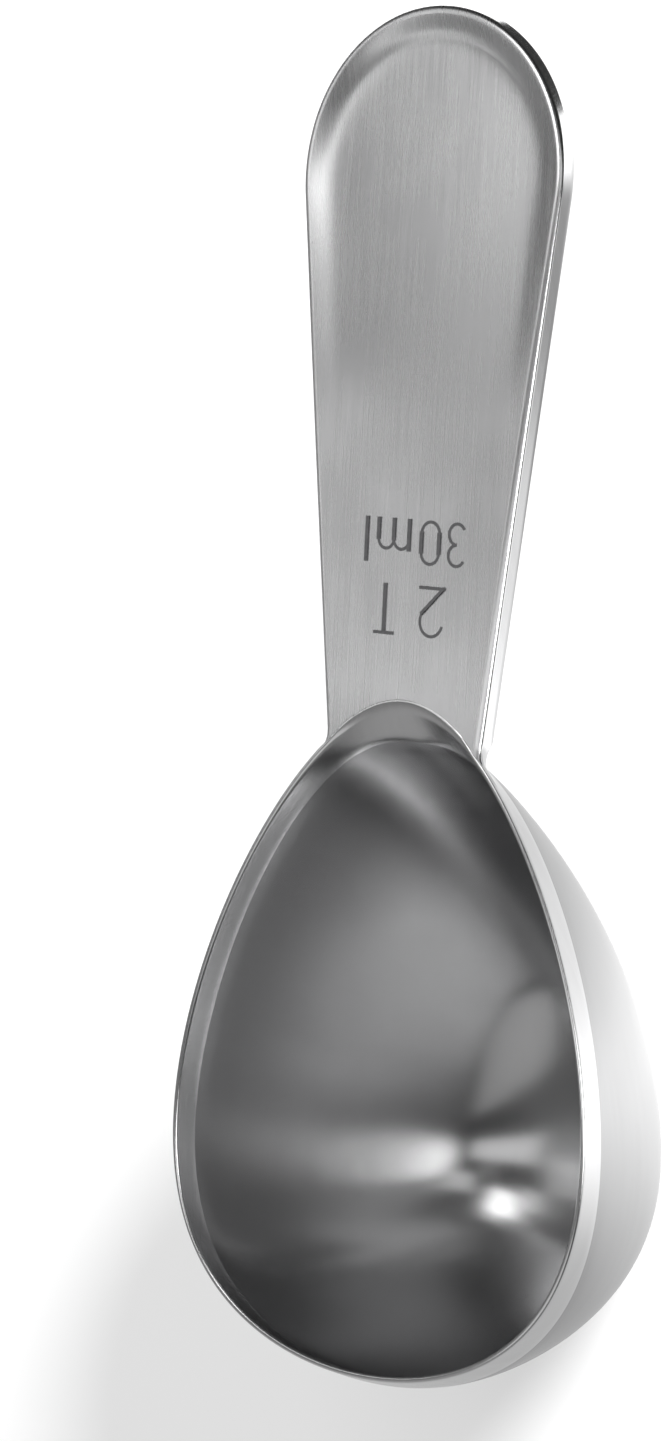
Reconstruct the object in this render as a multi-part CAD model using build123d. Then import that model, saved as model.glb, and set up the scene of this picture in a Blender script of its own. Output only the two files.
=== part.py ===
from build123d import *
import os
from math import sin, cos, tan, acos, pi, exp, hypot, radians, degrees

# A one-piece pressed steel measuring spoon of 30 ml, in millimetres.
# +Z is up, +Y runs from the bowl to the end of the handle, and X is across.
# The origin is the middle of the small flat under the bowl, on which it stands.

# Sheet
sheet = 0.5                    # thickness of the steel
overrun = 1.0                  # how far a cutting solid passes the face that it cuts

# Rim of the bowl, an egg with its wide end at the tip
bowl_length = 55.2
bowl_width = 42.4              # width of the egg before its swell
swell_share = 0.30             # how much wider it grows towards the tip
full_share = 0.06              # how much fuller both of its ends are
late_swell_share = 0.058       # more swell, near the two ends only
egg_points = 24                # points that carry each egg outline

# Straight band under the rim, down to the crease
band_height = 2.2
tip_flare = 0.65               # the band leans out by this at the tip
side_lean = 0.2                # and in by this at the sides
neck_lean = 2.8                # and further in by this at the neck
neck_spread = 31.5             # degrees of the egg over which the neck leans

# Deep bowl below the crease
bowl_depth = 28.9              # rim to the lowest point of the full curve
bowl_drift = 6.7               # that point lies this much nearer the tip
wall_power = 1.2               # nearer 1, the wall turns in more sharply at the crease
floor_power = 2.2              # higher makes the bottom flatter
foot_share = 0.25              # the flat foot, as a share of the crease's size
bowl_rings = 9                 # sections from crease to foot

# Handle, seen from above, from the neck to its round end
neck_set = 1.0                 # the handle's plane leaves the rim's this far inside the neck
handle_length = 56.7           # from there to its round end
end_radius = 13.6
handle_spread = 6.9            # degrees that each side leans outwards
handle_lift = 2.3              # degrees that the handle rises above the rim
edge_turn = 1.4                # height of the turned-down edge
edge_flare = 0.3               # the turned-down edge stands out by this at its foot
tuck = 9.0                     # how far the handle's blank runs in under the neck

# Dish pressed into the outer half of the handle
dish_depth = 1.1               # at the round end
dish_start = 22.0              # from the neck, where it begins
dish_inset = 2.4               # from the crest to the floor of the dish
dish_crest = 0.35              # from the crest to the top of its slope

# Capacity marks, pressed into the panel and read from the handle's end
mark_depth = 0.12
mark_stroke = 0.26
litre_height = 3.4             # height of the figures in 30 ml
litre_place = 13.8             # from the neck to the middle of that row
litre_offset = 0.6             # the row stands this far off the handle's middle line
spoon_height = 3.9             # height of the figures in 2 T
spoon_place = 8.25
spoon_offset = 0.2
em_share = 0.7                 # height of the letter m as a share of the figures
two_turn = -35                 # degrees where the 2's bow runs into its slant


# Egg outline

def egg(theta, inset):
    """A point of the rim's egg, moved in by inset; theta is 0 at the tip."""
    c, s = cos(theta), sin(theta)
    fat = 1 + swell_share * c + full_share * c * c + late_swell_share * c ** 3
    fat_turn = -s * (swell_share + 2 * full_share * c + 3 * late_swell_share * c * c)
    x, y = bowl_width / 2 * s * fat, -bowl_length / 2 * c
    dx = bowl_width / 2 * (c * fat + s * fat_turn)
    dy = bowl_length / 2 * s
    run = hypot(dx, dy)
    return x - inset * dy / run, y + inset * dx / run


def band_lean(theta):
    """How far the crease lies inside the rim at theta."""
    lean = side_lean - (tip_flare + side_lean) * max(cos(theta), 0) ** 1.5
    from_neck = degrees(pi - abs(theta)) / neck_spread
    return lean + neck_lean * exp(-from_neck ** 2)


def egg_wire(point_of, z):
    """A closed smooth wire through the outline that point_of gives, at height z."""
    turns = [2 * pi * i / egg_points - pi for i in range(egg_points)]
    points = [(*point_of(turn), z) for turn in turns]
    return Wire([Edge.make_spline([Vector(*p) for p in points], periodic=True)])


# Places worked out from the sizes above
foot_turn = acos(foot_share ** (floor_power / 2))
foot_down = sin(foot_turn) ** (2 / wall_power)
rim_height = band_height + (bowl_depth - band_height) * foot_down
crease_height = rim_height - band_height
rim_middle = bowl_drift * foot_down
neck_place = rim_middle + bowl_length / 2


# Bowl and band

def rim_wire(wall, z):
    def point_of(theta):
        x, y = egg(theta, wall)
        return x, y + rim_middle
    return egg_wire(point_of, z)


def crease_wire(wall):
    def point_of(theta):
        x, y = egg(theta, band_lean(theta) + wall)
        return x, y + rim_middle
    return egg_wire(point_of, crease_height)


def band_solid(wall):
    """The band's outer form, or its hollow when wall is the sheet."""
    return Solid.make_loft([crease_wire(wall), rim_wire(wall, rim_height)], True)


def bowl_solid(wall):
    """The bowl below the crease: its outer form, or its hollow."""
    deep = bowl_depth - band_height - wall
    sections = []
    for ring in range(bowl_rings):
        turn = foot_turn * ring / (bowl_rings - 1)
        down = sin(turn) ** (2 / wall_power)
        size = cos(turn) ** (2 / floor_power)

        def point_of(theta):
            x, y = egg(theta, band_lean(theta) + wall)
            return x * size, y * size + rim_middle - bowl_drift * down
        sections.append(egg_wire(point_of, crease_height - deep * down))
    return Solid.make_loft(sections, False)


band_form, bowl_form = band_solid(0), bowl_solid(0)
rim_band = band_form - band_solid(sheet)
bowl = bowl_form - bowl_solid(sheet)


# Handle
crest = Plane(origin=(0, neck_place - neck_set, rim_height), x_dir=(1, 0, 0),
              z_dir=(0, -sin(radians(handle_lift)), cos(radians(handle_lift))))
end_middle = handle_length - end_radius
lean = radians(handle_spread)


def handle_face(plane, inset, start):
    """The handle's outline on a plane, moved in by inset, from start to its end."""
    r = end_radius - inset
    side = (r * cos(lean), end_middle - r * sin(lean))
    foot = (r / cos(lean) - (end_middle - start) * tan(lean), start)
    left_side, left_foot = (-side[0], side[1]), (-foot[0], foot[1])
    edges = [Edge.make_line(foot, side),
             Edge.make_three_point_arc(side, (0, end_middle + r), left_side),
             Edge.make_line(left_side, left_foot),
             Edge.make_line(left_foot, foot)]
    return plane * Face(Wire(edges))


def frustum(plane, low_inset, high_inset, start, low, high):
    """A solid between two handle outlines, at heights low and high over a plane."""
    wires = [handle_face(plane.offset(z), inset, start).outer_wire()
             for z, inset in ((low, low_inset), (high, high_inset))]
    return Solid.make_loft(wires, True)


# The dish's floor drops from the crest's plane; its sides slope back up to the crest
dish_fall = degrees(dish_depth / (handle_length - dish_start))
floor = Plane(crest * Location((0, dish_start, 0), (-dish_fall, 0, 0)) * Location((0, -dish_start, 0)))
slope = (dish_inset - dish_crest) / dish_depth
dish_rise = dish_depth + overrun
dish = frustum(floor, dish_inset, dish_inset - slope * dish_rise, dish_start / 2, 0, dish_rise)

# The same form one sheet lower, and the flat plate between it and the neck
under_inset = dish_inset - sheet * (hypot(slope, 1) - slope)
under = frustum(floor, under_inset, under_inset - slope * (dish_rise + sheet), -tuck, -sheet, dish_rise)
plate = frustum(crest, under_inset, under_inset, -tuck, -sheet, 0)

# The handle's outer form with its turned-down edge, and the hollow under it
edge_form = frustum(crest, -edge_flare, 0, -tuck, -edge_turn, 0)
edge_hollow = frustum(crest, sheet - edge_flare, sheet, -tuck, -edge_turn, -sheet)

# What the bowl and its band take away at the neck
neck_cut = band_form + Solid.extrude(Face(rim_wire(0, rim_height)), Vector(0, 0, overrun))
panel_form = (under + plate) & edge_form
handle_panel = panel_form - dish - neck_cut
handle_edge = edge_form - edge_hollow - neck_cut - bowl_form - panel_form - dish


# Capacity marks, each figure or letter one stroked solid

def bow(middle, radius, start, end):
    """A curved stroke about middle, from start to end in degrees."""
    centre = Plane(Vector(*middle, 0))
    outer, inner = [Edge.make_circle(radius + side * mark_stroke / 2, centre, start, end) for side in (1, -1)]
    caps = [Edge.make_line(outer @ at, inner @ at) for at in (0, 1)]
    return Face(Wire([outer, caps[0], inner, caps[1]]))


def bar(start, end):
    """A straight stroke with square ends that stand half a stroke past its points."""
    along = (Vector(*end) - Vector(*start)).normalized() * mark_stroke / 2
    across = Vector(-along.Y, along.X)
    a, b = Vector(*start) - along, Vector(*end) + along
    return Face(Wire.make_polygon([a + across, b + across, b - across, a - across]))


def three(h, w):
    r = h / 4
    return [bow((w - r, h - r), r, -90, 150), bow((w - r, r), r, -150, 90)]


def nought(h, w):
    r = w / 2
    return [bow((r, h - r), r, 0, 180), bow((r, r), r, 180, 360), bar((0, r), (0, h - r)), bar((w, r), (w, h - r))]


def em(h, w):
    r = w / 4
    top = h * em_share - r
    legs = [bar((0, 0), (0, top + r)), bar((2 * r, 0), (2 * r, top)), bar((w, 0), (w, top))]
    return legs + [bow((r, top), r, 0, 180), bow((3 * r, top), r, 0, 180)]


def ell(h, w):
    return [bar((0, 0), (0, h))]


def two(h, w):
    r = w / 2
    knee = (r + r * cos(radians(two_turn)), h - r + r * sin(radians(two_turn)))
    return [bow((r, h - r), r, two_turn, 165), bar((0, 0), knee), bar((0, 0), (w, 0))]


def tee(h, w):
    return [bar((0, h), (w, h)), bar((w / 2, 0), (w / 2, h))]


def mark(height, place, offset, figures):
    """A row of figures with its middle at place from the neck and offset across."""
    widths = [width * height for _, width, _ in figures]
    gaps = [gap * height for _, _, gap in figures]
    x = -(sum(widths) + sum(gaps)) / 2
    sheet_top = crest * Location((offset, place, 0), (0, 0, 180))
    row = []
    for (figure, _, _), width, gap in zip(figures, widths, gaps):
        strokes = [extrude(stroke, -mark_depth) for stroke in figure(height, width)]
        solid = strokes[0].fuse(*strokes[1:]) if strokes[1:] else strokes[0]
        row.append(sheet_top * Location((x, -height / 2, 0)) * solid)
        x += width + gap
    return row


# Each figure, with its width and the gap after it as shares of its height
litre_shares = [(three, 0.55, 0.3), (nought, 0.55, 0.39), (em, 0.96, 0.37), (ell, 0, 0)]
spoon_shares = [(two, 0.61, 0.75), (tee, 0.46, 0)]
mark_30ml = mark(litre_height, litre_place, litre_offset, litre_shares)
mark_2t = mark(spoon_height, spoon_place, spoon_offset, spoon_shares)
for figure in mark_30ml + mark_2t:
    handle_panel -= figure


# One node each
nodes = {"bowl": bowl, "rim_band": rim_band, "handle_panel": handle_panel, "handle_edge": handle_edge,
         "mark_30ml": Compound(mark_30ml), "mark_2t": Compound(mark_2t)}
os.makedirs("parts", exist_ok=True)
for name, solid in nodes.items():
    export_step(solid, "parts/" + name + ".step")

brim = sum(form.volume for form in (band_solid(sheet), bowl_solid(sheet)))
print("holds to the brim, ml:", round(brim / 1000, 2), " foot to rim:", round(rim_height, 3))
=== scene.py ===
import bmesh
import bpy
from math import sin, cos, tan, acos, atan, pi, exp, hypot, radians, degrees, sqrt
from mathutils import Matrix, Vector


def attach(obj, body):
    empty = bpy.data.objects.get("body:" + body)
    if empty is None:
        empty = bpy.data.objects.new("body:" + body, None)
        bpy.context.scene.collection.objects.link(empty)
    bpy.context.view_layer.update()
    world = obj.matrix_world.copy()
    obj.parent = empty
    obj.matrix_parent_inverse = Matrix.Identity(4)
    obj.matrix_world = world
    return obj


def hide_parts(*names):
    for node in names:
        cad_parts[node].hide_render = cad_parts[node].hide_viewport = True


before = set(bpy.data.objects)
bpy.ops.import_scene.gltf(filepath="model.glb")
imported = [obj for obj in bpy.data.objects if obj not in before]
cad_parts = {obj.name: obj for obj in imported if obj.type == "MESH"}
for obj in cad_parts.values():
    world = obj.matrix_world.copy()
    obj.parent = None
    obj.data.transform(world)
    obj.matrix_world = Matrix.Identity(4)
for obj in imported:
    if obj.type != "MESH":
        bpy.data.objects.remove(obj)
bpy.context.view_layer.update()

# A pressed steel measuring spoon that stands on its foot, seen from its right side and above.
# Sizes are in millimetres, and mm turns them into the metres of the meshes. Those of the sheet, the
# bowl and the handle are the part's, apart from dish_crest.
mm = 0.001

# Sheet and rim
sheet = 0.5
bowl_length = 55.2
bowl_width = 42.4
swell_share = 0.30
full_share = 0.06
late_swell_share = 0.058
band_height = 2.2
tip_flare = 0.65
side_lean = 0.2
neck_lean = 2.8
neck_spread = 31.5
lean_power = 1.5

# Deep bowl
bowl_depth = 28.9
bowl_drift = 6.7
wall_power = 1.2
floor_power = 2.2
foot_share = 0.25

# Handle
neck_set = 1.0
handle_length = 56.7
end_radius = 13.6
handle_spread = 6.9
handle_lift = radians(2.3)
edge_turn = 1.4
edge_flare = 0.3
dish_depth = 1.1
dish_start = 22.0
dish_inset = 2.4
dish_crest = 0.1               # 0.35 in the part, whose slope has sharp bends

# Softness of the pressing
crest_radius = 0.6             # outer radius of the bend over the crest
merged_radius = 0.2            # and where the edge runs into the rim
edge_sink = 0.12               # how far the edge's end dips into the rim's wall
edge_run_in = radians(5)       # and how far round the egg it runs on inside it
edge_lap = 0.1                 # how far the edge laps over the panel
edge_over = 0.006              # and by how much it stands over it there
corner_radius = 2.4            # hollow corner in plan where the edge runs into the rim
dish_soft = 0.75               # how round the top and bottom of the dish's slope are
dish_start_soft = 5.0          # how gently its floor starts to fall
crease_soft = 0.55             # half the width over which the crease is rounded
neck_radius = 0.4              # radius of the roll from the rim's top into the panel at the neck
neck_fade = 0.4                # share of the neck's half, at its outer end, over which that roll fades
ring_over = 0.012              # how far the roll stands over the panel where they meet
line_start = 0.14              # where the panel starts under the rim's top beside the neck
lip_dips = (0.04, 0.02)        # how far the panel's two lips reach in under the roll
lip_drops = (0.02, 0.001)      # and how far they lie below the panel's top
hollow_share = 0.5             # the even bottom inside starts at this share of the crease's size

# Section of the drawn wall, measured as one length v down from the rim
wall_run = 36.0                # the part of v that runs from crease to foot
wall_ease = 0.62               # spreads the rows evenly from the crease down
foot_run = 0.2                 # the part of v, as a share of wall_run, that crosses the foot
split_place = 2.3              # just below the crease, where the ring ends and the bowl starts

# Fineness of the meshes
ring_rows = 22
cap_rows = 8
ring_columns = 360
bowl_rows = 70
bowl_columns = 240
sink_steps = 6                 # stations of the turned edge inside the rim's wall
corner_steps = 10              # in the hollow corner
side_steps = 60                # up the side
end_steps = 48                 # and round to the end's middle
panel_columns = 40
neck_rows = 24
neck_reach = 9                 # stations of the side that stand beside the neck's patch
line_steps = 640
merge_distance = 0.002         # points this close are one
sliver_width = 0.0005          # faces thinner than this go
sharp_turn = 50                # degrees over which an edge stays sharp

# Places worked out from those sizes
foot_turn = acos(foot_share ** (floor_power / 2))
foot_down = sin(foot_turn) ** (2 / wall_power)
rim_height = band_height + (bowl_depth - band_height) * foot_down
crease_height = rim_height - band_height
rim_middle = bowl_drift * foot_down
neck_place = rim_middle + bowl_length / 2
end_middle = handle_length - end_radius
lean = radians(handle_spread)

# The even bottom inside, at share r of the crease's size, lies above its lowest point by this share of the
# depth: hollow_rise * r ** 2 + hollow_turn * r ** 4. With these values it meets the wall without a kink.
hollow_start = acos(hollow_share ** (floor_power / 2))
hollow_place = (hollow_start / foot_turn) ** (1 / wall_ease)
hollow_deep = foot_down - sin(hollow_start) ** (2 / wall_power)
hollow_slope = ((2 / wall_power) * sin(hollow_start) ** (2 / wall_power - 2) * cos(hollow_start)
                / ((2 / floor_power) * cos(hollow_start) ** (2 / floor_power - 1)))
hollow_turn = (hollow_slope * hollow_share / 2 - hollow_deep) / hollow_share ** 4
hollow_rise = hollow_deep / hollow_share ** 2 - hollow_turn * hollow_share ** 2


# Geometry Nodes written as sums

class Field:
    """A value in a node tree that can be added, multiplied and so on."""

    def __init__(self, tree, socket):
        self.tree = tree
        self.socket = socket

    def math(self, operation, *others):
        node = self.tree.nodes.new("ShaderNodeMath")
        node.operation = operation
        for slot, value in zip(node.inputs, (self,) + others):
            if isinstance(value, Field):
                self.tree.links.new(value.socket, slot)
            else:
                slot.default_value = value
        return Field(self.tree, node.outputs[0])

    def __add__(self, other):
        return self.math("ADD", other)

    def __sub__(self, other):
        return self.math("SUBTRACT", other)

    def __mul__(self, other):
        return self.math("MULTIPLY", other)

    def __truediv__(self, other):
        return self.math("DIVIDE", other)

    def __pow__(self, other):
        return self.math("POWER", other)

    __radd__ = __add__
    __rmul__ = __mul__

    def __neg__(self):
        return self * -1.0

    def __rsub__(self, other):
        return -self + other

    def sin(self):
        return self.math("SINE")

    def cos(self):
        return self.math("COSINE")

    def root(self):
        return self.math("SQRT")

    def absolute(self):
        return self.math("ABSOLUTE")

    def least(self, other):
        return self.math("MINIMUM", other)

    def most(self, other):
        return self.math("MAXIMUM", other)

    def above(self, other):
        return self.math("GREATER_THAN", other)


def add_input(tree, name, value):
    """A named input of a node tree, with its usual value."""
    kind = "NodeSocketInt" if isinstance(value, int) else "NodeSocketFloat"
    socket = tree.interface.new_socket(name, in_out="INPUT", socket_type=kind)
    socket.default_value = value


def egg_field(size, theta, inset):
    """Point of the rim's egg, moved in by inset, as two fields."""
    c, s = theta.cos(), theta.sin()
    swell, full, late = size["swell share"], size["full share"], size["late swell share"]
    fat = 1 + swell * c + full * c * c + late * c * c * c
    fat_turn = -s * (swell + 2 * full * c + 3 * late * c * c)
    half_width, half_length = size["bowl width"] / 2, size["bowl length"] / 2
    dx = half_width * (c * fat + s * fat_turn)
    dy = half_length * s
    run = (dx * dx + dy * dy).root()
    return half_width * s * fat - inset * dy / run, -half_length * c + inset * dx / run


def lean_field(size, theta):
    """How far the crease lies inside the rim at theta."""
    flare = (size["tip flare"] + size["side lean"]) * theta.cos().most(0.0) ** lean_power
    from_neck = (pi - theta.absolute()) / radians(neck_spread)
    return size["side lean"] - flare + size["neck lean"] * (-from_neck * from_neck).math("EXPONENT")


def smooth_field(value):
    """Eased step of a field that runs from 0 to 1."""
    return value * value * (3 - 2 * value)


def wall_field(size, theta, v, wall):
    """Point of the wall, v down its section from the rim, with wall of its thickness passed."""
    in_band = v.least(size["band height"]) / size["band height"]
    below = ((v - size["band height"]) / wall_run).most(0.0)
    turn = below.least(1.0) ** wall_ease * foot_turn
    down = turn.sin().most(0.0) ** (2 / wall_power)
    in_foot = 1 - (below - 1).most(0.0) / foot_run
    share = turn.cos() ** (2 / floor_power) * in_foot
    # Inside, the bottom is one even hollow with no edge round the foot
    inside = below.above(hollow_place) * (wall / size["sheet"]).above(0.5)
    hollow_part = (1 + foot_run - below) / (1 + foot_run - hollow_place) * hollow_share
    square = hollow_part * hollow_part
    share = share + (hollow_part - share) * inside
    down = down + (foot_down - square * hollow_rise - square * square * hollow_turn - down) * inside
    x, y = egg_field(size, theta, lean_field(size, theta) * in_band + wall)
    deep = size["bowl depth"] - size["band height"] - wall
    z = crease_height + (1 - in_band) * size["band height"] - deep * down
    return x * share, y * share + rim_middle - size["bowl drift"] * down, z


def pressed_wall_tree(name, ring):
    """Node tree of the drawn wall: the band as a ring when ring is true, or the bowl below it."""
    tree = bpy.data.node_groups.new(name, "GeometryNodeTree")
    tree.is_modifier = True
    sizes = {"bowl length": bowl_length, "bowl width": bowl_width, "swell share": swell_share,
             "full share": full_share, "late swell share": late_swell_share, "band height": band_height,
             "tip flare": tip_flare, "side lean": side_lean, "neck lean": neck_lean,
             "bowl depth": bowl_depth, "bowl drift": bowl_drift, "sheet": sheet,
             "crease softness": crease_soft, "section end": split_place,
             "rows": ring_rows, "cap rows": cap_rows, "columns": ring_columns}
    for key, value in sizes.items():
        add_input(tree, key, value)
    tree.interface.new_socket("finish", in_out="INPUT", socket_type="NodeSocketMaterial")
    tree.interface.new_socket("Geometry", in_out="OUTPUT", socket_type="NodeSocketGeometry")
    group_in = tree.nodes.new("NodeGroupInput")
    size = {key: Field(tree, group_in.outputs[key]) for key in sizes}
    rows, cap, columns = size["rows"], size["cap rows"], size["columns"]

    # Each row k of the grid is a place in the section, each column a turn theta round the egg
    total = rows * 2 + cap + 2 if ring else rows * 2 + 2
    grid = tree.nodes.new("GeometryNodeMeshGrid")
    tree.links.new(total.socket, grid.inputs["Vertices X"])
    tree.links.new((columns + 1).socket, grid.inputs["Vertices Y"])
    index = Field(tree, tree.nodes.new("GeometryNodeInputIndex").outputs[0])
    k = (index / (columns + 1)).math("FLOOR")
    theta = (index - k * (columns + 1)) / columns * (2 * pi) - pi
    half = size["sheet"] / 2
    if ring:
        # Rows run up the outside, over the top and down the inside, and the last one closes the section
        middle = rows + cap / 2
        out = (((k - middle).absolute() - cap / 2) / rows).most(0.0).least(1.0)
        bend = ((k - rows) / cap).most(0.0).least(1.0) * pi
        closing = 1 - k.above(total - 1.5)
        # At the neck the wall's top rolls over outwards, into the handle's panel
        off_neck = (pi - theta.absolute()) / neck_turn
        rolled = smooth_field(((1 - off_neck) / neck_fade).most(0.0).least(1.0))
        full_turn = rolled * (pi / 2)
        start = half * (1 - full_turn.sin()) + neck_radius * full_turn.sin()
        straight = size["section end"] - start
        past = (1 - out) * (straight + neck_radius * full_turn) - straight
        turned = past.most(0.0) / neck_radius
        level, steep = turned.sin(), turned.cos()
        thick = half * (1 + bend.cos()) * (1 - level / 2)
        bulge = half * bend.sin()
        reach_out = neck_radius * (1 - steep) + thick * steep + bulge * level
        height = neck_radius * level - start + past.least(0.0)
        height = height - thick * level + bulge * steep
        v = -height
        wall = (size["sheet"] - reach_out) * closing
    else:
        # Rows run up the outside from the foot's middle, and down the inside again
        m = (k - (rows + 0.5)).absolute() - 0.5
        whole = band_height + wall_run * (1 + foot_run)
        v = size["section end"] + (whole - size["section end"]) * m / rows
        wall = size["sheet"] * k.above(rows + 0.5)

    # The mean of places on both sides rounds the crease and the foot
    softness = size["crease softness"]
    taps = [wall_field(size, theta, v + step * softness, wall) for step in (-1, -0.5, 0, 0.5, 1)]
    x, y, z = [(a + 2 * b + 2 * c + 2 * d + e) / 8 for a, b, c, d, e in zip(*taps)]
    if ring:
        along = y - (neck_place - neck_set)
        near_top = (1 - v.most(0.0) / size["band height"]).most(0.0)
        z = z + rolled * (along * tan(handle_lift) + ring_over) * near_top
    x, y, z = x * mm, y * mm, z * mm
    place = tree.nodes.new("ShaderNodeCombineXYZ")
    for axis, value in zip("XYZ", (x, y, z)):
        tree.links.new(value.socket, place.inputs[axis])
    move = tree.nodes.new("GeometryNodeSetPosition")
    tree.links.new(grid.outputs["Mesh"], move.inputs["Geometry"])
    tree.links.new(place.outputs[0], move.inputs["Position"])

    # Brushing map: along the spoon, and round its long axis
    at = tree.nodes.new("GeometryNodeInputPosition")
    split = tree.nodes.new("ShaderNodeSeparateXYZ")
    tree.links.new(at.outputs[0], split.inputs[0])
    px, py, pz = [Field(tree, split.outputs[axis]) for axis in "XYZ"]
    round_axis = px.math("ARCTAN2", (rim_height + end_radius) * mm - pz)
    brush = tree.nodes.new("ShaderNodeCombineXYZ")
    tree.links.new((py / (bowl_length * mm)).socket, brush.inputs["X"])
    tree.links.new(round_axis.socket, brush.inputs["Y"])
    store = tree.nodes.new("GeometryNodeStoreNamedAttribute")
    store.data_type = "FLOAT2"
    store.domain = "CORNER"
    store.inputs["Name"].default_value = "brush"
    tree.links.new(move.outputs[0], store.inputs["Geometry"])
    tree.links.new(brush.outputs[0], store.inputs["Value"])

    merge = tree.nodes.new("GeometryNodeMergeByDistance")
    merge.inputs["Distance"].default_value = merge_distance * mm
    smooth = tree.nodes.new("GeometryNodeSetShadeSmooth")
    real = tree.nodes.new("GeometryNodeRealizeInstances")
    paint = tree.nodes.new("GeometryNodeSetMaterial")
    group_out = tree.nodes.new("NodeGroupOutput")
    chain = [store, merge, smooth, real, paint, group_out]
    for first, second in zip(chain, chain[1:]):
        tree.links.new(first.outputs[0], second.inputs[0])
    tree.links.new(group_in.outputs["finish"], paint.inputs["Material"])
    return tree


def grown(name, tree, settings):
    """The plain mesh object that a node tree makes with these settings."""
    seed = bpy.data.objects.new(name, bpy.data.meshes.new(name))
    bpy.context.scene.collection.objects.link(seed)
    modifier = seed.modifiers.new("form", "NODES")
    modifier.node_group = tree
    for item in tree.interface.items_tree:
        if item.in_out == "INPUT" and item.name in settings:
            modifier[item.identifier] = settings[item.name]
    bpy.context.view_layer.update()
    evaluated = seed.evaluated_get(bpy.context.evaluated_depsgraph_get())
    mesh = bpy.data.meshes.new_from_object(evaluated)
    seed.modifiers.remove(modifier)
    seed.data = mesh
    return seed


# Rim and neck, in plain numbers for the handle

def egg(theta, inset):
    """A point of the rim's egg, moved in by inset; theta is 0 at the tip."""
    c, s = cos(theta), sin(theta)
    fat = 1 + swell_share * c + full_share * c * c + late_swell_share * c ** 3
    fat_turn = -s * (swell_share + 2 * full_share * c + 3 * late_swell_share * c * c)
    dx = bowl_width / 2 * (c * fat + s * fat_turn)
    dy = bowl_length / 2 * s
    run = hypot(dx, dy)
    return bowl_width / 2 * s * fat - inset * dy / run, -bowl_length / 2 * c + inset * dx / run


def band_lean(theta):
    """How far the crease lies inside the rim at theta."""
    flare = (tip_flare + side_lean) * max(cos(theta), 0) ** lean_power
    from_neck = degrees(pi - abs(theta)) / neck_spread
    return side_lean - flare + neck_lean * exp(-from_neck ** 2)


def egg_on_handle(theta, inset):
    """The egg's point in the handle's own plane: x across and s along from the neck."""
    x, y = egg(theta, inset)
    return Vector((x, (y - bowl_length / 2 + neck_set) / cos(handle_lift)))


def from_handle(x, s, z):
    """From the handle's own frame to the object's, in metres."""
    y = neck_place - neck_set + s * cos(handle_lift) - z * sin(handle_lift)
    return Vector((x, y, rim_height + s * sin(handle_lift) + z * cos(handle_lift))) * mm


side_out = Vector((cos(lean), -sin(lean)))
side_along = Vector((sin(lean), cos(lean)))
end_centre = Vector((0, end_middle))


def corner_centre():
    """Centre of the hollow corner beside the neck, and the turn at which it meets the egg."""
    # Found by halving the range of turns
    low, high = radians(120), radians(170)
    for _ in range(50):
        theta = (low + high) / 2
        centre = egg_on_handle(theta, -corner_radius)
        if (centre - end_centre).dot(side_out) > end_radius + corner_radius:
            low = theta
        else:
            high = theta
    return centre, theta


corner_middle, corner_theta = corner_centre()
neck_turn = pi - corner_theta  # from the neck to where the edge leaves the rim


def smooth_step(value):
    """Eased step of a number, which is kept between 0 and 1."""
    value = min(max(value, 0.0), 1.0)
    return value * value * (3 - 2 * value)


def soft_ramp(value, softness):
    """Zero below 0 and the value above it, rounded between."""
    return (value + sqrt(value * value + softness * softness)) / 2


def line_inset(theta):
    """Inset of the line where the panel meets the rim's roll."""
    turned = pi / 2 * smooth_step((1 - abs(pi - theta) / neck_turn) / neck_fade)
    return sheet - neck_radius * (1 - cos(turned)) - line_start * cos(turned)


line_from, line_span = radians(100), radians(160)
line_turns = [line_from + line_span * i / line_steps for i in range(line_steps + 1)]
rim_line = [(theta, egg_on_handle(theta, line_inset(theta))) for theta in line_turns]


def rim_turn(point):
    """The turn of the place on the rim's line that is nearest to a point."""
    return min(rim_line, key=lambda item: (item[1] - point).length_squared)[0]


def outline_inset(x, s):
    """Distance in from the handle's outline."""
    point = Vector((abs(x), s)) - end_centre
    if point.dot(side_along) > 0:
        return end_radius - point.length
    return end_radius - point.dot(side_out)


dish_run = handle_length - dish_start


def panel_height(x, s, inset):
    """Height of the panel's top over the crest's plane."""
    fall = dish_depth * soft_ramp(s - dish_start, dish_start_soft) / dish_run
    width = dish_inset - dish_crest
    slope = (soft_ramp(inset - dish_crest, dish_soft) - soft_ramp(inset - dish_inset, dish_soft)) / width
    return -fall * slope


# Mesh building

def make_piece(name, points, faces, material, brush_of):
    """A closed mesh from points in metres, with its brushing map, normals outwards."""
    mesh = bpy.data.meshes.new(name)
    mesh.from_pydata([tuple(p) for p in points], [], faces)
    mesh.validate()
    piece = bpy.data.objects.new(name, mesh)
    bpy.context.scene.collection.objects.link(piece)
    close_and_turn(mesh)
    layer = mesh.uv_layers.new(name="brush")
    for loop in mesh.loops:
        layer.data[loop.index].uv = brush_of(mesh.vertices[loop.vertex_index].co)
    mesh.shade_smooth()
    mesh.materials.append(material)
    return piece


def close_and_turn(mesh):
    """Merge doubled points and turn every face outwards."""
    work = bmesh.new()
    work.from_mesh(mesh)
    bmesh.ops.remove_doubles(work, verts=work.verts, dist=merge_distance * mm)
    bmesh.ops.dissolve_degenerate(work, edges=work.edges, dist=sliver_width * mm)
    bmesh.ops.recalc_face_normals(work, faces=work.faces)
    work.to_mesh(mesh)
    work.free()


def along_handle(co):
    """The handle's brushing map: along it, and across."""
    return co.y / (handle_length * mm), co.x / (handle_length * mm)


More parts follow.
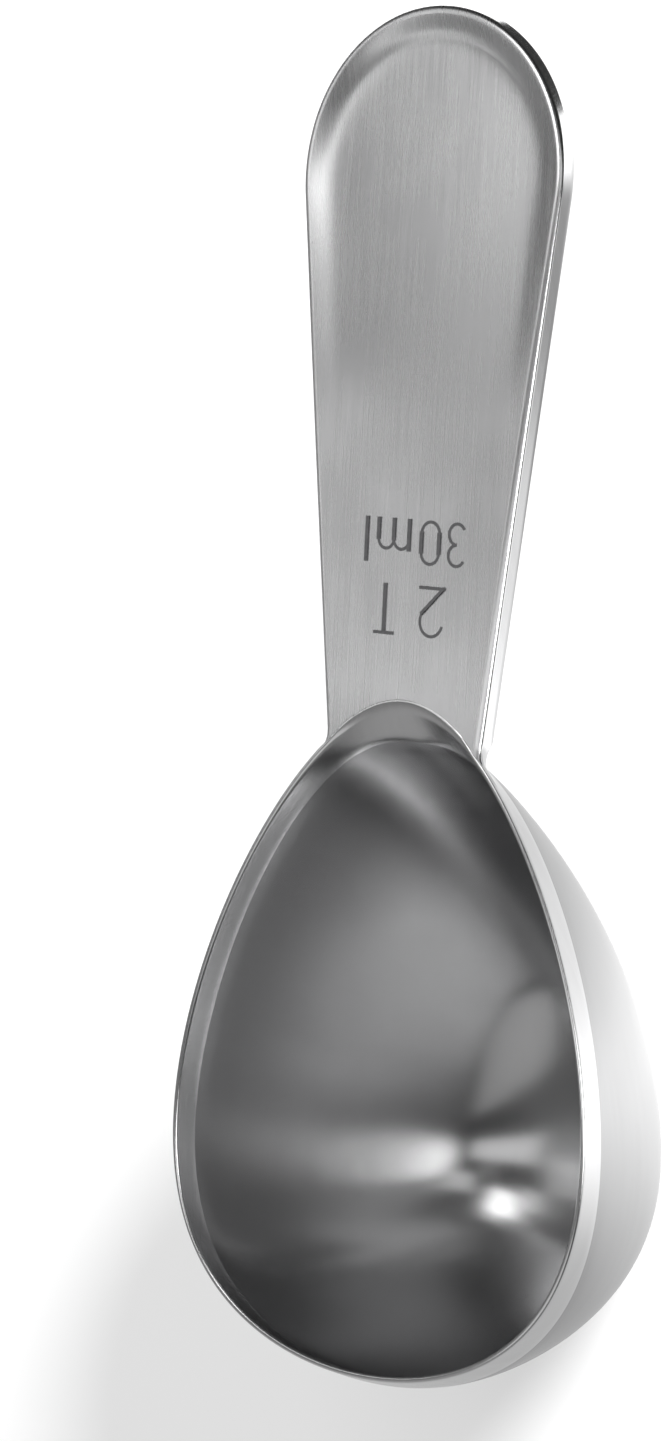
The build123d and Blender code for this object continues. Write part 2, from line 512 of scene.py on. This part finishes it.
def right_stations():
    """Stations from inside the rim, round the hollow corner, up the side and round to the end's middle.

    Each has its place, the way out, how far the edge has merged into the rim, and how deep it is sunk.
    """
    stations = []
    for i in range(sink_steps):
        share = 1 - i / sink_steps
        theta = corner_theta - edge_run_in * share
        sunk = edge_sink * share
        near, far = egg_on_handle(theta, sunk), egg_on_handle(theta, sunk - 1)
        stations.append((near, (far - near).normalized(), 1.0, sunk))
    start = (egg_on_handle(corner_theta, 0) - corner_middle).normalized()
    end = -side_out
    for i in range(corner_steps):
        share = i / corner_steps
        way = start.slerp(end, share)
        stations.append((corner_middle + corner_radius * way, -way, 1 - smooth_step(share), 0.0))
    low = corner_middle - corner_radius * side_out
    high = end_centre + end_radius * side_out
    for i in range(side_steps):
        stations.append((low.lerp(high, i / side_steps), side_out, 0.0, 0.0))
    for i in range(end_steps + 1):
        angle = -lean + (pi / 2 + lean) * i / end_steps
        way = Vector((cos(angle), sin(angle)))
        stations.append((end_centre + end_radius * way, way, 0.0, 0.0))
    return stations


def edge_form(place, merged):
    """Flare of the edge's foot, radius and turn of its bend, and how far in the bend starts."""
    flare = edge_flare
    if merged:
        flare += merged * (-band_lean(rim_turn(place)) * edge_turn / band_height - edge_flare)
    radius = crest_radius + merged * (merged_radius - crest_radius)
    turn = pi / 2 - atan(flare / edge_turn)
    return flare, radius, turn, radius * tan(turn / 2)


def edge_section(place, out, merged, sunk):
    """Closed section of the turned edge at one station, as points in metres."""
    flare, radius, turn, start = edge_form(place, merged)
    thick = sheet * (1 - merged / 2)
    arc_steps, flange_steps, cap_steps = 10, 5, 6
    profile = [Vector((-start - edge_lap, 0))]
    for i in range(arc_steps + 1):
        a = turn * i / arc_steps
        profile.append(Vector((-start + radius * sin(a), radius * (cos(a) - 1))))
    arc_end, foot = profile[-1], Vector((flare, -edge_turn + sheet / 2))
    profile += [arc_end.lerp(foot, i / flange_steps) for i in range(1, flange_steps + 1)]
    top = []
    for point in profile:
        spot = place + out * min(point.x, 0)
        height = point.y + panel_height(spot.x, spot.y, -point.x) + edge_over - sunk
        top.append(Vector((point.x, height)))
    under = []
    for i, point in enumerate(top):
        run = (top[min(i + 1, len(top) - 1)] - top[max(i - 1, 0)]).normalized()
        under.append(point + Vector((run.y, -run.x)) * thick)
    middle = (top[-1] + under[-1]) / 2
    arm = top[-1] - middle
    down = Vector((arm.y, -arm.x))
    cap_turns = [pi * i / cap_steps for i in range(1, cap_steps)]
    cap = [middle + arm * cos(a) + down * sin(a) for a in cap_turns]
    loop = top + cap + under[::-1]
    return [from_handle(*(place + out * point.x), point.y) for point in loop]


def mirrored(points):
    """The same points on the left side."""
    return [Vector((-p.x, p.y, p.z)) for p in points]


def turned_edge(material):
    """The crest and the edge that turns down all round the handle."""
    half = [edge_section(*station) for station in right_stations()]
    sections = half + [mirrored(section) for section in half[-2::-1]]
    count = len(sections[0])
    points = [point for section in sections for point in section]
    faces = []
    for i in range(len(sections) - 1):
        for j in range(count):
            a, b = i * count + j, i * count + (j + 1) % count
            faces.append((a, b, b + count, a + count))
    faces.append(tuple(range(count)))
    faces.append(tuple(range(len(points) - count, len(points)))[::-1])
    return make_piece("turned_edge", points, faces, material, along_handle)


def panel_rows():
    """Lips and rows of the panel's top, right half, from the rim's roll to the round end."""
    stations = right_stations()
    side_first = sink_steps + corner_steps
    outer = [place - out * edge_form(place, merged)[3] for place, out, merged, _ in stations]
    spread = [1 - cos(pi / 2 * i / panel_columns) for i in range(panel_columns + 1)]

    def ray(index):
        """Straight row from the outline to the spine at a station of the side or the end."""
        place, out = stations[index][:2]
        if index >= side_first + side_steps:
            spine = end_centre
        else:
            spine = place - out * (place.x / out.x)
        return [outer[index].lerp(spine, share) for share in spread]

    # The neck, as a patch between the first straight row and the rim's inner line
    clear = side_first + neck_reach
    top_row = ray(clear)
    turns = [corner_theta + (pi - corner_theta) * share for share in spread]
    low_row = [egg_on_handle(theta, line_inset(theta)) for theta in turns]
    side_curve = [low_row[0]] + outer[sink_steps + 1:clear + 1]
    neck = []
    for r in range(neck_rows):
        v = r / neck_rows
        along = v * (len(side_curve) - 1)
        i = int(along)
        left = side_curve[i].lerp(side_curve[min(i + 1, len(side_curve) - 1)], along - i)
        right = low_row[-1].lerp(top_row[-1], v)
        row = []
        for k, share in enumerate(spread):
            edges = left * (1 - share) + right * share + low_row[k] * (1 - v) + top_row[k] * v
            corners = (low_row[0] * (1 - share) * (1 - v) + low_row[-1] * share * (1 - v)
                       + top_row[0] * (1 - share) * v + top_row[-1] * share * v)
            row.append(edges - corners)
        neck.append(row)
    lips = [[egg_on_handle(theta, line_inset(theta) + dip) for theta in turns] for dip in lip_dips]
    return lips, neck + [ray(i) for i in range(clear, len(stations))]


def panel(material):
    """The panel with its dish, from its lip under the rim's roll."""
    lips, rows = panel_rows()
    top, under = [], []
    for row, drop in list(zip(lips, lip_drops)) + [(row, 0.0) for row in rows]:
        heights = [panel_height(point.x, point.y, outline_inset(*point)) - drop for point in row]
        top.append([from_handle(*point, height) for point, height in zip(row, heights)])
        under.append([from_handle(*point, height - sheet) for point, height in zip(row, heights)])

    def whole(line):
        """The row from the right outline to the left one."""
        return line + mirrored(line[-2::-1])

    grid = [whole(line) for line in top] + [whole(line) for line in under[::-1]]
    count = len(grid[0])
    points = [point for line in grid for point in line]
    faces = []
    total = len(grid)
    half = total // 2
    for i in range(total):
        for j in range(count - 1):
            if i == half - 1:      # the end's middle, where both halves already meet
                continue
            a, b = i * count + j, (i + 1) % total * count + j
            faces.append((a, a + 1, b + 1, b))
    for i in range(half - 1):
        for j in (0, count - 1):
            a, b = i * count + j, (total - 1 - i) * count + j
            faces.append((a, a + count, b - count, b))
    return make_piece("handle_plate", points, faces, material, along_handle)


# Brushed steel
fine_streak = (0.16, 9.0)      # width and length
broad_streak = (1.1, 34.0)
streak_satin = (-0.02, 0.03)   # what the fine streaks add to the roughness
streak_bump = 0.02             # strength of their relief
streak_depth = 0.01            # and its height
patch_size = 9.0               # patches of slightly more or less satin
patch_spread = 0.07            # share by which they change the roughness
noise_range = (0.3, 0.7)       # where most of a noise's values lie
flat_range = (0.35, 0.75)      # how much a face looks upwards, from a wall to a flat
quarter_turn = 0.25            # from the brushing map to the streaks


def brushed_steel(name, colour, roughness, grain, anisotropy, width, flat_roughness=None,
                  fine_share=1.0):
    """Steel brushed along the spoon, with fine streaks, broader ones and slight patches.

    One unit of the brushing map is width across, and fine_share weakens the fine streaks.
    """
    material = bpy.data.materials.new(name)
    material.use_nodes = True
    nodes, links = material.node_tree.nodes, material.node_tree.links
    shader = nodes["Principled BSDF"]
    shader.inputs["Metallic"].default_value = 1.0
    shader.inputs["Anisotropic"].default_value = anisotropy
    shader.inputs["Anisotropic Rotation"].default_value = quarter_turn
    tangent = nodes.new("ShaderNodeTangent")
    tangent.direction_type = "UV_MAP"
    tangent.uv_map = "brush"
    links.new(tangent.outputs[0], shader.inputs["Tangent"])
    place = nodes.new("ShaderNodeTexCoord")
    brush = nodes.new("ShaderNodeUVMap")
    brush.uv_map = "brush"

    def streaks(across, along):
        """Noise in streaks of this width and length."""
        mapping = nodes.new("ShaderNodeMapping")
        mapping.inputs["Scale"].default_value = (handle_length / along, width / across, 1)
        noise = nodes.new("ShaderNodeTexNoise")
        noise.inputs["Scale"].default_value = 1.0
        links.new(brush.outputs[0], mapping.inputs[0])
        links.new(mapping.outputs[0], noise.inputs["Vector"])
        return noise.outputs["Fac"]

    def ranged(source, low, high):
        """A noise stretched to run from low to high."""
        span = nodes.new("ShaderNodeMapRange")
        span.inputs["From Min"].default_value = noise_range[0]
        span.inputs["From Max"].default_value = noise_range[1]
        span.inputs["To Min"].default_value = low
        span.inputs["To Max"].default_value = high
        links.new(source, span.inputs["Value"])
        return span.outputs[0]

    fine = streaks(*fine_streak)
    broad = streaks(*broad_streak)
    patches = nodes.new("ShaderNodeTexNoise")
    patches.inputs["Scale"].default_value = 1 / (patch_size * mm)
    links.new(place.outputs["Object"], patches.inputs["Vector"])
    shade = nodes.new("ShaderNodeMix")
    shade.data_type = "RGBA"
    shade.inputs["A"].default_value = (*[c * (1 - grain) for c in colour], 1)
    shade.inputs["B"].default_value = (*[min(c * (1 + grain), 1) for c in colour], 1)
    mean = nodes.new("ShaderNodeMath")
    mean.operation = "ADD"
    links.new(ranged(fine, 0.0, 0.5), mean.inputs[0])
    links.new(ranged(broad, 0.0, 0.5), mean.inputs[1])
    links.new(mean.outputs[0], shade.inputs["Factor"])
    links.new(shade.outputs["Result"], shader.inputs["Base Color"])
    rough = nodes.new("ShaderNodeMath")
    rough.operation = "ADD"
    least, most = roughness * (1 - patch_spread), roughness * (1 + patch_spread)
    level = ranged(patches.outputs["Fac"], least, most)
    if flat_roughness:
        # The faces that look upwards are as satin as the panel beside them
        facing = nodes.new("ShaderNodeSeparateXYZ")
        links.new(nodes.new("ShaderNodeNewGeometry").outputs["Normal"], facing.inputs[0])
        blend = nodes.new("ShaderNodeMapRange")
        blend.interpolation_type = "SMOOTHSTEP"
        blend.inputs["From Min"].default_value = flat_range[0]
        blend.inputs["From Max"].default_value = flat_range[1]
        blend.inputs["To Max"].default_value = flat_roughness
        links.new(facing.outputs["Z"], blend.inputs["Value"])
        links.new(level, blend.inputs["To Min"])
        level = blend.outputs[0]
    links.new(level, rough.inputs[0])
    satin = [change * fine_share for change in streak_satin]
    links.new(ranged(fine, *satin), rough.inputs[1])
    links.new(rough.outputs[0], shader.inputs["Roughness"])
    bump = nodes.new("ShaderNodeBump")
    bump.inputs["Strength"].default_value = streak_bump * fine_share
    bump.inputs["Distance"].default_value = streak_depth * mm
    links.new(fine, bump.inputs["Height"])
    links.new(bump.outputs[0], shader.inputs["Normal"])
    return material


# Painted shade of the marks: a near-black matt colour that stands for the shade in their pressed grooves
speck_size = 0.2
mark_metal = 0.4
mark_shade_colours = ((0.05, 0.05, 0.052, 1), (0.12, 0.12, 0.123, 1))
mark_satin = (0.5, 0.7)


def dark_mark(name):
    """Near-black matt painted shade on a pressed mark, for the shade in its groove, with fine specks."""
    material = bpy.data.materials.new(name)
    material.use_nodes = True
    nodes, links = material.node_tree.nodes, material.node_tree.links
    shader = nodes["Principled BSDF"]
    shader.inputs["Metallic"].default_value = mark_metal
    noise = nodes.new("ShaderNodeTexNoise")
    noise.inputs["Scale"].default_value = 1 / (speck_size * mm)
    place = nodes.new("ShaderNodeTexCoord")
    links.new(place.outputs["Object"], noise.inputs["Vector"])
    ramp = nodes.new("ShaderNodeValToRGB")
    for element, colour in zip(ramp.color_ramp.elements, mark_shade_colours):
        element.color = colour
    links.new(noise.outputs["Fac"], ramp.inputs[0])
    links.new(ramp.outputs[0], shader.inputs["Base Color"])
    rough = nodes.new("ShaderNodeMapRange")
    rough.inputs["To Min"].default_value = mark_satin[0]
    rough.inputs["To Max"].default_value = mark_satin[1]
    links.new(noise.outputs["Fac"], rough.inputs["Value"])
    links.new(rough.outputs[0], shader.inputs["Roughness"])
    return material


# One steel throughout: the base colours of these copies differ only as painted light and shade, darkest in
# the bowl for its painted shade and lightest on the rim band for its painted light.
steel_bowl = brushed_steel("satin_bowl_steel_painted_shade", (0.5, 0.5, 0.504), roughness=0.235, grain=0.02,
                           anisotropy=0.67, width=end_radius * 2, fine_share=0.25)
steel_handle = brushed_steel("brushed_handle_steel", (0.64, 0.64, 0.645), roughness=0.26, grain=0.05,
                             anisotropy=0.8, width=handle_length)
steel_rim = brushed_steel("rim_steel_painted_light", (0.8, 0.8, 0.805), roughness=0.22, grain=0.03,
                          anisotropy=0.4, width=end_radius * 2)
steel_edge = brushed_steel("polished_edge_steel", (0.76, 0.76, 0.765), roughness=0.09, grain=0.03,
                           anisotropy=0.5, width=handle_length, flat_roughness=0.28)
mark_dark = dark_mark("pressed_mark_painted_shade")

# Pieces
ring = grown("rim_band_ring", pressed_wall_tree("pressed band", True), {"finish": steel_rim})
cup = grown("drawn_bowl", pressed_wall_tree("drawn bowl", False),
            {"rows": bowl_rows, "columns": bowl_columns, "finish": steel_bowl})
for piece in (ring, cup):
    close_and_turn(piece.data)
plate = panel(steel_handle)
edge = turned_edge(steel_edge)
for piece, node, slot in ((ring, "rim_band", "steel_edge"), (cup, "bowl", "steel_bowl"),
                          (plate, "handle_panel", "steel_handle"), (edge, "handle_edge", "steel_edge")):
    piece.data.set_sharp_from_angle(angle=radians(sharp_turn))
    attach(piece, "root")
    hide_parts(node)

# The marks take the painted shade of their grooves
for node in ("mark_30ml", "mark_2t"):
    bpy.data.objects[node].data.materials.clear()
    bpy.data.objects[node].data.materials.append(mark_dark)


# Camera: where it stands and how it is turned, from the photograph's outlines
camera_turn = radians(41.67)
camera_tilt = radians(-2.49)
camera_roll = radians(-4.26)
camera_distance = 409.1
camera_aside = 3.666
camera_over = 25.84
camera_lens = 126.2
look = Vector((sin(camera_turn) * cos(camera_tilt), -sin(camera_tilt),
               cos(camera_turn) * cos(camera_tilt)))
level = Vector((cos(camera_turn), 0, -sin(camera_turn)))
upright = look.cross(level)
right = level * cos(camera_roll) - upright * sin(camera_roll)
up = level * sin(camera_roll) + upright * cos(camera_roll)
rim_centre = Vector((0, rim_middle, rim_height))
stand = (rim_centre + camera_distance * look - camera_aside * right + camera_over * up) * mm
camera = bpy.data.objects.new("camera", bpy.data.cameras.new("camera"))
camera.data.lens = camera_lens
camera.data.sensor_width = 36
camera.data.clip_start = 0.01
camera.matrix_world = Matrix.Translation(stand) @ Matrix((right, up, look)).transposed().to_4x4()
bpy.context.scene.collection.objects.link(camera)
bpy.context.scene.camera = camera


# Table: what the camera sees, and the painted light and shade by place along the spoon with which it glows
# in the steel
table_white = 0.5              # colour of the table for the camera
table_own_light = 0.4          # its own light there, which keeps the shadow pale
table_bounce = 0.8             # its colour for the light that bounces on
table_from, table_to = -60, 200
# Painted light and shade of the table in the steel: emitted levels by place that stand for its lit places
# and the shade under the bowl
painted_table_levels = [(-60, 0.28), (-23, 0.34), (-10, 0.55), (0, 0.81), (8, 0.94),
                (15, 0.74), (24, 0.53), (35, 0.55), (46, 0.2), (64, 0.2),
                (80, 0.52), (95, 1.0), (120, 1.0), (135, 1.5), (142, 1.5)]
table_glow = 1.75              # strength of those levels
table_end = 141                # the table ends here in the steel, beyond the handle
table_beyond = 0.05            # strength past its end
floor_reach = 2.5              # half its side, in metres

# Surroundings: white for the camera, and in the steel dim but for a low light beside the bowl
world_fill = 0.5               # their strength as light, where the camera sees 1
low_light = (-0.55, -0.8, 0.05)
# Level in the steel, from a direction away from the low light, 0, to one straight at it, 1
low_levels = [(0.0, 0.02), (0.5, 0.05), (0.7, 0.15), (0.88, 0.2), (1.0, 0.32)]

# Cards of light over the spoon: two opposite corners in plan, and how bright each is
card_height = 150.0
cards = {"neck_card": ((-126, 12), (-92, 25), 1.85),
         "handle_card": ((-140, 25), (-88, 60), 1.1),
         "strip_card": ((-90, 60), (-50, 110), 1.2),
         "middle_card": ((-42, 76), (15, 110), 3.0),
         "upper_card": ((-56, 110), (15, 155), 3.3),
         "near_card": ((15, 25), (60, 60), 0.25),
         "far_card": ((-40, 155), (15, 200), 1.3),
         "right_card": ((72, 60), (165, 118), 1.0),
         "over_card": ((-66, -6), (96, 25), 1.05),
         "front_card": ((-45, -160), (110, -44), 0.42)}

# Lamp for the highlight in the bowl, and key lamp for the shadow on the table
bowl_lamp_place = (118, 15, 85)
bowl_lamp_target = (-10, -5, 5)
bowl_lamp_size = (76, 42)
bowl_lamp_level = 4.2
key_place = (270, 246, 168)
key_angle = 16                 # degrees, which softens the shadow's edge
key_strength = 6.8


def grey(level):
    """Colour of a grey of this level."""
    return level, level, level, 1


def ray_is(nodes, kind):
    """One where the ray is of this kind."""
    return nodes.new("ShaderNodeLightPath").outputs[kind]


def grey_ramp(nodes, links, source, stops, interpolation):
    """Ramp of grey levels over source, from stops of place and level."""
    node = nodes.new("ShaderNodeValToRGB")
    node.color_ramp.interpolation = interpolation
    elements = node.color_ramp.elements
    while len(elements) < len(stops):
        elements.new(0.5)
    for element, (at, level) in zip(elements, stops):
        element.position = at
        element.color = grey(level)
    links.new(source, node.inputs[0])
    return node.outputs[0]


def floor_material():
    """White table that takes the soft shadow, and that glows in the steel with painted light and shade in
    places.
    """
    material = bpy.data.materials.new("white_floor")
    material.use_nodes = True
    nodes, links = material.node_tree.nodes, material.node_tree.links
    nodes.remove(nodes["Principled BSDF"])
    matt = nodes.new("ShaderNodeBsdfDiffuse")
    matt.inputs["Color"].default_value = grey(table_white)
    glow = nodes.new("ShaderNodeEmission")
    glow.inputs["Strength"].default_value = table_own_light
    both = nodes.new("ShaderNodeAddShader")
    links.new(matt.outputs[0], both.inputs[0])
    links.new(glow.outputs[0], both.inputs[1])
    place = nodes.new("ShaderNodeTexCoord")
    split = nodes.new("ShaderNodeSeparateXYZ")
    span = nodes.new("ShaderNodeMapRange")
    span.inputs["From Min"].default_value = table_from * mm
    span.inputs["From Max"].default_value = table_to * mm
    links.new(place.outputs["Object"], split.inputs[0])
    links.new(split.outputs["Y"], span.inputs["Value"])
    stops = [((at - table_from) / (table_to - table_from), level) for at, level in painted_table_levels]
    levels = grey_ramp(nodes, links, span.outputs[0], stops, "B_SPLINE")
    before = nodes.new("ShaderNodeMath")
    before.operation = "LESS_THAN"
    before.inputs[1].default_value = table_end * mm
    links.new(split.outputs["Y"], before.inputs[0])
    strength = nodes.new("ShaderNodeMapRange")
    strength.inputs["To Min"].default_value = table_beyond
    strength.inputs["To Max"].default_value = table_glow
    links.new(before.outputs[0], strength.inputs["Value"])
    mirrored_glow = nodes.new("ShaderNodeEmission")
    links.new(strength.outputs[0], mirrored_glow.inputs["Strength"])
    links.new(levels, mirrored_glow.inputs["Color"])
    plain = nodes.new("ShaderNodeBsdfDiffuse")
    plain.inputs["Color"].default_value = grey(table_bounce)
    seen = nodes.new("ShaderNodeMixShader")
    links.new(ray_is(nodes, "Is Camera Ray"), seen.inputs[0])
    links.new(plain.outputs[0], seen.inputs[1])
    links.new(both.outputs[0], seen.inputs[2])
    mix = nodes.new("ShaderNodeMixShader")
    links.new(ray_is(nodes, "Is Glossy Ray"), mix.inputs[0])
    links.new(seen.outputs[0], mix.inputs[1])
    links.new(mirrored_glow.outputs[0], mix.inputs[2])
    links.new(mix.outputs[0], nodes["Material Output"].inputs["Surface"])
    return material


floor_corners = [(-floor_reach, -floor_reach, 0), (floor_reach, -floor_reach, 0),
                 (floor_reach, floor_reach, 0), (-floor_reach, floor_reach, 0)]
floor_mesh = bpy.data.meshes.new("floor")
floor_mesh.from_pydata(floor_corners, [], [(0, 1, 2, 3)])
floor = bpy.data.objects.new("floor", floor_mesh)
floor_mesh.materials.append(floor_material())
bpy.context.scene.collection.objects.link(floor)


def studio_world():
    """White behind the spoon, and in the steel a dim tent that is lightest towards the low light."""
    world = bpy.data.worlds.new("studio")
    world.use_nodes = True
    nodes, links = world.node_tree.nodes, world.node_tree.links
    dot = nodes.new("ShaderNodeVectorMath")
    dot.operation = "DOT_PRODUCT"
    dot.inputs[1].default_value = Vector(low_light).normalized()
    links.new(nodes.new("ShaderNodeTexCoord").outputs["Generated"], dot.inputs[0])
    facing = nodes.new("ShaderNodeMapRange")
    facing.inputs["From Min"].default_value = -1
    links.new(dot.outputs["Value"], facing.inputs["Value"])
    tent = grey_ramp(nodes, links, facing.outputs[0], low_levels, "EASE")
    shown = nodes.new("ShaderNodeBackground")
    links.new(tent, shown.inputs["Color"])
    white = nodes.new("ShaderNodeBackground")
    white.inputs["Color"].default_value = grey(1)
    fill = nodes.new("ShaderNodeMapRange")
    fill.inputs["To Min"].default_value = world_fill
    links.new(ray_is(nodes, "Is Camera Ray"), fill.inputs["Value"])
    links.new(fill.outputs[0], white.inputs["Strength"])
    mix = nodes.new("ShaderNodeMixShader")
    links.new(ray_is(nodes, "Is Glossy Ray"), mix.inputs[0])
    links.new(white.outputs[0], mix.inputs[1])
    links.new(shown.outputs[0], mix.inputs[2])
    links.new(mix.outputs[0], nodes["World Output"].inputs["Surface"])
    bpy.context.scene.world = world


studio_world()


def hidden_lamp(name, kind, place, turned):
    """A lamp at place that the camera doesn't see, turned by a matrix."""
    lamp = bpy.data.objects.new(name, bpy.data.lights.new(name, kind))
    lamp.matrix_world = Matrix.Translation(Vector(place) * mm) @ turned
    lamp.visible_camera = False
    bpy.context.scene.collection.objects.link(lamp)
    return lamp


def sheet_of_light(name, shape, place, turned, size, level):
    """A flat lamp of this shape and size whose face is as bright as level."""
    lamp = hidden_lamp(name, "AREA", place, turned)
    lamp.data.shape = shape
    lamp.data.size = size[0] * mm
    lamp.data.size_y = size[1] * mm
    lamp.data.energy = level * pi * lamp.data.size * lamp.data.size_y
    return lamp


def turn_from(place, target):
    """The turn by which a lamp at place faces target."""
    way = Vector(place) - Vector(target)
    return way.to_track_quat("Z", "Y").to_matrix().to_4x4()


for name, (low, high, level) in cards.items():
    card_middle = ((low[0] + high[0]) / 2, (low[1] + high[1]) / 2, card_height)
    card_size = (high[0] - low[0], high[1] - low[1])
    sheet_of_light(name, "RECTANGLE", card_middle, Matrix(), card_size, level)

bowl_lamp_turn = turn_from(bowl_lamp_place, bowl_lamp_target)
bowl_lamp = sheet_of_light("bowl_lamp", "ELLIPSE", bowl_lamp_place, bowl_lamp_turn,
                           bowl_lamp_size, bowl_lamp_level)
bowl_lamp.visible_diffuse = False

key_lamp = hidden_lamp("key_lamp", "SUN", key_place, turn_from(key_place, (0, 0, 0)))
key_lamp.data.angle = radians(key_angle)
key_lamp.data.energy = key_strength
key_lamp.visible_glossy = False

# Only the band and the bowl cast its shadow, which falls beside the tip
casters = bpy.data.collections.new("key_lamp_casters")
for piece in (ring, cup):
    casters.objects.link(piece)
key_lamp.light_linking.blocker_collection = casters

bpy.context.scene.view_settings.view_transform = "Standard"
